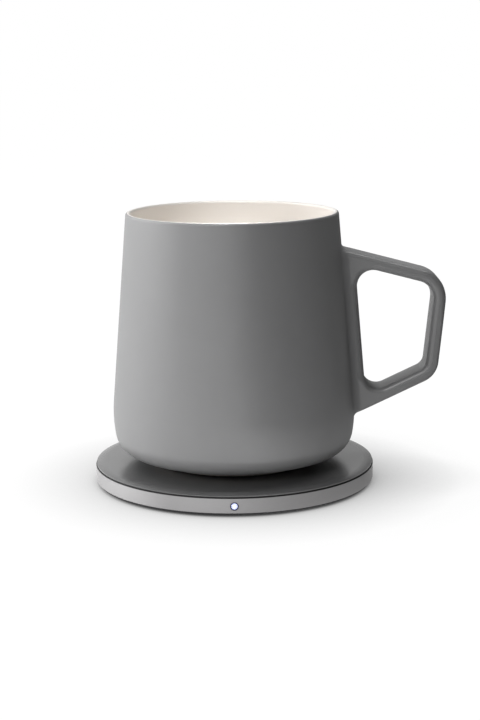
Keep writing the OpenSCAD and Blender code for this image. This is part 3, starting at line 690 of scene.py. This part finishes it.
underside = rounded([(0, recess_z, 0), (recess_r, recess_z, recess_in_r), (recess_r, foot_gap, foot_in_r),
                     (foot_r - foot_taper, foot_gap, foot_out_r), (foot_r, belly_lift, foot_top_r),
                     (corner_c[0], belly_lift, 0)])
belly = arc(corner_c, corner_r, -pi / 2, corner_turn, steps=24)
shoulder = arc(shoulder_c, shoulder_r, corner_turn, wall_lean, steps=24)
lip = arc(lip_c, lip_r, wall_lean, wall_lean + pi, steps=20)
inner_shoulder = arc(shoulder_c, inner_r, wall_lean, bowl_turn, steps=24)
bowl = arc(bowl_c, bowl_r, bowl_turn, -pi / 2, steps=20)
wall = straight(shoulder[-1], lip[0], steps=30)
inner_wall = straight(lip[-1], inner_shoulder[0], steps=30)
bottom = np.array([0, bowl_z])
floor = straight(bowl[-1], bottom, steps=8) + [bottom]
below_lip = underside[:-1] + belly + shoulder[1:] + wall
outline = below_lip + lip + inner_wall + inner_shoulder + bowl[1:] + floor
points, faces, rows = lathe(outline, segments=256)

# Bare clay in the recess and over the foot ring, and cream from just inside the lip's crest
glazed_rows_under = 5
glaze_from = len(underside) - glazed_rows_under
cream_from = len(below_lip) + len(lip) // 2 + 1
GREY, CREAM, BARE = range(3)
finish = [BARE if row < glaze_from else GREY if row < cream_from else CREAM for row in rows]
strap_points, strap_faces = handle_mesh()
faces += [tuple(i + len(points) for i in f) for f in strap_faces]
finish += [GREY] * len(strap_faces)
points += strap_points
points = [(x, y, z + plate_top) for x, y, z in points]
mug = piece("mug", "mug", points, faces, [grey_glaze, cream_glaze, bare_stoneware], finish)
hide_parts("mug_body")


# The coil, a flat spiral of stranded wire
def twisted(path, r, lobes, lay, height, lobe_depth=0.18):
    """A bundle of strands along a flat path: rings with a lobe for each strand, turned once in each lay."""
    ways = [unit(path[min(i + 1, len(path) - 1)] - path[max(i - 1, 0)]) for i in range(len(path))]
    points, run, sides = [], 0.0, 4 * lobes
    for i, (p, way) in enumerate(zip(path, ways)):
        run += hypot(*(p - path[i - 1])) if i else 0.0
        for k in range(sides):
            a = 2 * pi * k / sides
            out = r * (1 - lobe_depth / 2 + lobe_depth / 2 * cos(lobes * a))
            turned = a + 2 * pi * run / lay
            u, w = out * cos(turned), out * sin(turned)
            points.append((p[0] - u * way[1], p[1] + u * way[0], height + w))
    faces = [(i + k, i + (k + 1) % sides, i + sides + (k + 1) % sides, i + sides + k)
             for i in range(0, len(points) - sides, sides) for k in range(sides)]
    return points, faces + [tuple(range(sides))[::-1], tuple(range(len(points) - sides, len(points)))]


coil_out_r = coil_in_r + coil_turns * coil_pitch
coil_low, coil_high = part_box("heating_coil")
turn_steps = 36
spiral = [(coil_in_r + coil_pitch * k / turn_steps) * heading(2 * pi * k / turn_steps)
          for k in range(coil_turns * turn_steps + 1)]
coil_path = [np.array([coil_in_r, -wire_d]), np.array([coil_in_r, -wire_d / 2])] + spiral
coil_path += [np.array([coil_out_r, wire_d / 2]), np.array([coil_out_r, wire_d])]
coil_z, coil_half_h = (coil_low.z + coil_high.z) / 2 / MM, (coil_high.z - coil_low.z) / 2 / MM
strands = twisted(coil_path, coil_half_h, strand_n, strand_lay, coil_z)
coil = piece("heating_coil_litz", "pad", *strands, [litz()], sharp=80)
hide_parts("heating_coil")

# Finishes of the nodes that stay, by the record's slots
steel = (0.56, 0.56, 0.57)
resistor_l = 1.6 * MM
resistor_gap = 0.75 * MM
resistor_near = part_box("coil_tray")[1].x + resistor_gap
finishes = {
    "heater_steel": turned_metal("heater_steel", steel, 0.32),
    "bond": surface("bond_silicone", (0.55, 0.50, 0.42), 0.6, grain=0.8),
    "mug_silicone": surface("mug_silicone", (0.035, 0.035, 0.037), 0.75, grain=0.6, depth=0.03),
    "plate_glass": surface("dark_glass", (0.120, 0.120, 0.121), 0.22, mottle=0.05, mottle_size=20, grain=0.5,
                           depth=0.0004, spread=0.02, IOR=1.6),
    "seal": surface("seal_rubber", (0.012, 0.012, 0.012), 0.7),
    "band_metal": brushed_band(),
    "chassis_plastic": surface("chassis_plastic", (0.030, 0.030, 0.032), 0.55, grain=0.3),
    "base_plastic": surface("base_plastic", (0.016, 0.016, 0.017), 0.55, grain=0.3),
    "foot_silicone": surface("foot_silicone", (0.022, 0.022, 0.023), 0.8, grain=0.6, depth=0.03),
    "screw_steel": surface("screw_steel", steel, 0.34, mottle_size=0.8, grain=0.15, depth=0.006,
                           Metallic=1.0),
    "board": circuit_board(),
    "tray_plastic": surface("tray_plastic", (0.050, 0.050, 0.052), 0.5, grain=0.3),
    "tinned": surface("tinned", (0.68, 0.66, 0.60), 0.32, mottle_size=0.7, grain=0.2, depth=0.006,
                      Metallic=1.0),
    "ferrite": surface("ferrite", (0.045, 0.045, 0.048), 0.65, mottle=0.2, mottle_size=0.6, grain=0.15,
                       depth=0.02),
    "shield": turned_metal("shield_foil", (0.78, 0.78, 0.79), 0.34),
    "mica": mica_sheet(),
    "sensor": surface("sensor_epoxy", (0.030, 0.034, 0.050), 0.35, mottle_size=1.0, grain=0.2),
    "cushion": surface("cushion_foam", (0.30, 0.30, 0.31), 0.9, mottle_size=0.5, grain=0.25, depth=0.08),
    "socket_steel": surface("socket_steel", steel, 0.34, mottle_size=1.5, grain=0.12, depth=0.003,
                            Metallic=1.0),
    "socket_plastic": gilt_contacts(),
    "lamp": surface("lamp_housing", (0.78, 0.78, 0.70), 0.4, mottle_size=0.6, grain=0.15),
    "lens": lit_lens(),
    "bezel": surface("bezel_plastic", (0.010, 0.014, 0.055), 0.35, grain=0.2),
    "chip": surface("chip_epoxy", (0.018, 0.018, 0.019), 0.5, mottle_size=1.2, grain=0.12, depth=0.012),
    "film_capacitor": surface("film_capacitor", (0.50, 0.36, 0.16), 0.36, mottle_size=2.5, grain=0.5),
    "capacitor_can": surface("capacitor_can", (0.74, 0.74, 0.75), 0.32, mottle_size=1.0, grain=0.15,
                             depth=0.004, Metallic=1.0),
    "choke_core": surface("choke_core", (0.09, 0.09, 0.095), 0.6, mottle=0.25, mottle_size=0.6, grain=0.2,
                          depth=0.03),
    "resistor": tinned_ends(resistor_near, resistor_near + resistor_l),
}
for part in frame["record"]["subparts"]:
    if part["node"] not in ("mug_body", "heating_coil"):
        for slot in nodes[part["node"]].material_slots:
            slot.material = finishes[part["material_slot"]]

# The studio: a pale floor, white beyond, large soft lamps on the left, small ones for the handle's edges,
# one overhead from behind and two beams into the mug
scene = bpy.context.scene
scene.view_settings.view_transform = "Standard"


def seen_directly(tree, across):
    """1 for what the camera sees, itself or by mirrors and glass, and 0 for the light on the object.

    Grey cards stand on the right and far on the left, outside the picture, and mirrors see them there.
    """
    path = node(tree, "LightPath").outputs
    right, left = between(tree, across, 1.0, 0.2, -0.1, 0.4), between(tree, across, 0.35, 1.0, -0.95, -0.75)
    cards = node(tree, "Math", {0: right, 1: left}, operation="MULTIPLY").outputs[0]
    mirrored = node(tree, "Math", {0: path["Is Glossy Ray"], 1: cards}, operation="MULTIPLY").outputs[0]
    seen = node(tree, "Math", {0: path["Is Camera Ray"], 1: mirrored}, operation="MAXIMUM").outputs[0]
    return node(tree, "Math", {0: seen, 1: path["Is Transmission Ray"]}, operation="MAXIMUM").outputs[0]


def white_world(ambient):
    world = bpy.data.worlds.new("studio")
    world.use_nodes = True
    tree = world.node_tree
    background = tree.nodes["Background"]
    background.inputs["Color"].default_value = (1, 1, 1, 1)
    across = node(tree, "SeparateXYZ", {0: node(tree, "TexCoord").outputs["Generated"]}).outputs["X"]
    strength = between(tree, seen_directly(tree, across), ambient, 1.0, 0, 1)
    tree.links.new(strength, background.inputs["Strength"])
    scene.world = world


def pale_floor(reach, lit_share, glow_share, shadow_reach, near, far, bounce):
    """A white floor with a soft shadow close to the object, which gives way to white between near and far.

    Its right side throws little light back on the mug.
    """
    card_from, card_to = 0.2 * pad_r * MM, 2.4 * pad_r * MM
    sky_way = (-0.16, -0.08, 0.98)
    mesh = bpy.data.meshes.new("floor")
    corners = [(-reach, -reach, 0), (reach, -reach, 0), (reach, reach, 0), (-reach, reach, 0)]
    mesh.from_pydata(corners, [], [(0, 1, 2, 3)])
    floor = bpy.data.objects.new("floor", mesh)
    scene.collection.objects.link(floor)
    material, tree, bsdf = start("floor")
    tree.nodes.remove(bsdf)
    away = node(tree, "VectorMath", {0: place(tree)}, operation="LENGTH").outputs["Value"]
    across = node(tree, "SeparateXYZ", {0: place(tree)}).outputs["X"]
    aside = node(tree, "Math", {0: across, 1: away}, operation="DIVIDE").outputs[0]
    seen = seen_directly(tree, aside)
    card = between(tree, across, 0, 1, card_from, card_to)
    bounced = mixed(tree, card, (0.90, 0.90, 0.90), (0.08, 0.08, 0.08))
    tone = mixed(tree, seen, bounced, shade((0.8, 0.8, 0.8), lit_share))
    shaded = node(tree, "BsdfDiffuse", {"Color": tone})
    lit_from = node(tree, "CombineXYZ", dict(zip("XYZ", sky_way))).outputs[0]
    sky = {"Distance": shadow_reach, "Normal": lit_from}
    open_sky = node(tree, "AmbientOcclusion", sky, samples=16).outputs["AO"]
    glow = node(tree, "Math", {0: open_sky, 1: glow_share}, operation="MULTIPLY").outputs[0]
    beyond = node(tree, "MapRange", {"Value": away, "From Min": near, "From Max": far},
                  interpolation_type="SMOOTHSTEP").outputs["Result"]
    glow = between(tree, beyond, glow, 1.0, 0, 1)
    glow = between(tree, seen, between(tree, card, bounce, 0.0, 0, 1), glow, 0, 1)
    glowing = node(tree, "Emission", {"Strength": glow})
    lit = node(tree, "AddShader", {0: shaded.outputs[0], 1: glowing.outputs[0]})
    tree.links.new(lit.outputs[0], tree.nodes["Material Output"].inputs["Surface"])
    mesh.materials.append(material)


def facing(azimuth, elevation):
    """The way from the mug to a lamp. Azimuth 0 is the camera's side, and it grows to the left."""
    a, e = radians(azimuth), radians(elevation)
    return Vector((-sin(a) * cos(e), -cos(a) * cos(e), sin(e)))


def hang(name, light, way, distance, aim):
    obj = bpy.data.objects.new(name, light)
    obj.location = way * distance + aim
    obj.rotation_euler = way.to_track_quat("Z", "Y").to_euler()
    scene.collection.objects.link(obj)


def soft_lamp(name, azimuth, elevation, distance, width, height, power):
    """A soft lamp that faces the mug's middle."""
    light = bpy.data.lights.new(name, "AREA")
    light.shape = "RECTANGLE"
    light.size, light.size_y, light.energy = width, height, power
    hang(name, light, facing(azimuth, elevation), distance, Vector((0, 0, (plate_top + mug_h / 2) * MM)))


def snoot(name, azimuth, elevation, distance, power):
    """A narrow beam over the lip into the mug, which misses its outside while it stands on the pad."""
    a, e = radians(azimuth), radians(elevation)
    past_middle = rim_r / 4
    aim = Vector((sin(a) * past_middle, cos(a) * past_middle, plate_top + mug_h)) * MM
    light = bpy.data.lights.new(name, "SPOT")
    light.energy = power
    light.shadow_soft_size = 6 * MM
    light.spot_size = 2 * atan2((rim_r - wall_t) * sin(e) * MM, distance)
    light.spot_blend = 0.9
    hang(name, light, facing(azimuth, elevation), distance, aim)


white_world(ambient=0.01)
pale_floor(reach=4.0, lit_share=0.05, glow_share=0.975, shadow_reach=0.045, near=0.085, far=0.15,
           bounce=0.75)
soft_lamp("side", 108, 30, 0.85, width=1.0, height=0.7, power=4.7)
soft_lamp("low_side", 88, 12, 0.85, width=0.9, height=0.35, power=1.6)
soft_lamp("key", 38, 26, 0.80, width=0.18, height=0.25, power=0.5)
soft_lamp("strip", 15, 37, 0.80, width=0.12, height=0.3, power=0.65)
soft_lamp("edge", -22, 40, 0.80, width=0.08, height=0.4, power=0.12)
soft_lamp("overhead", 180, 82, 0.75, width=1.0, height=0.12, power=3.0)
snoot("inside_front", 180, 54, 0.60, power=37.0)
snoot("inside_back", 0, 54, 0.60, power=10.0)

# The camera, a little higher than the mug and fitted to the edges in the photo
picture_h = 720
focal_px = 1617.3
camera_x, camera_y, camera_z = 2.4, -590.6, 166.0
pitch, roll = radians(11.56), radians(0.54)
camera_data = bpy.data.cameras.new("camera")
camera_data.sensor_fit = "VERTICAL"
camera_data.sensor_height = 24.0
camera_data.lens = focal_px / picture_h * camera_data.sensor_height
camera = bpy.data.objects.new("camera", camera_data)
turn = Matrix.Rotation(pi / 2 - pitch, 4, "X") @ Matrix.Rotation(-roll, 4, "Z")
camera.matrix_world = Matrix.Translation(Vector((camera_x, camera_y, camera_z)) * MM) @ turn
scene.collection.objects.link(camera)
scene.camera = camera
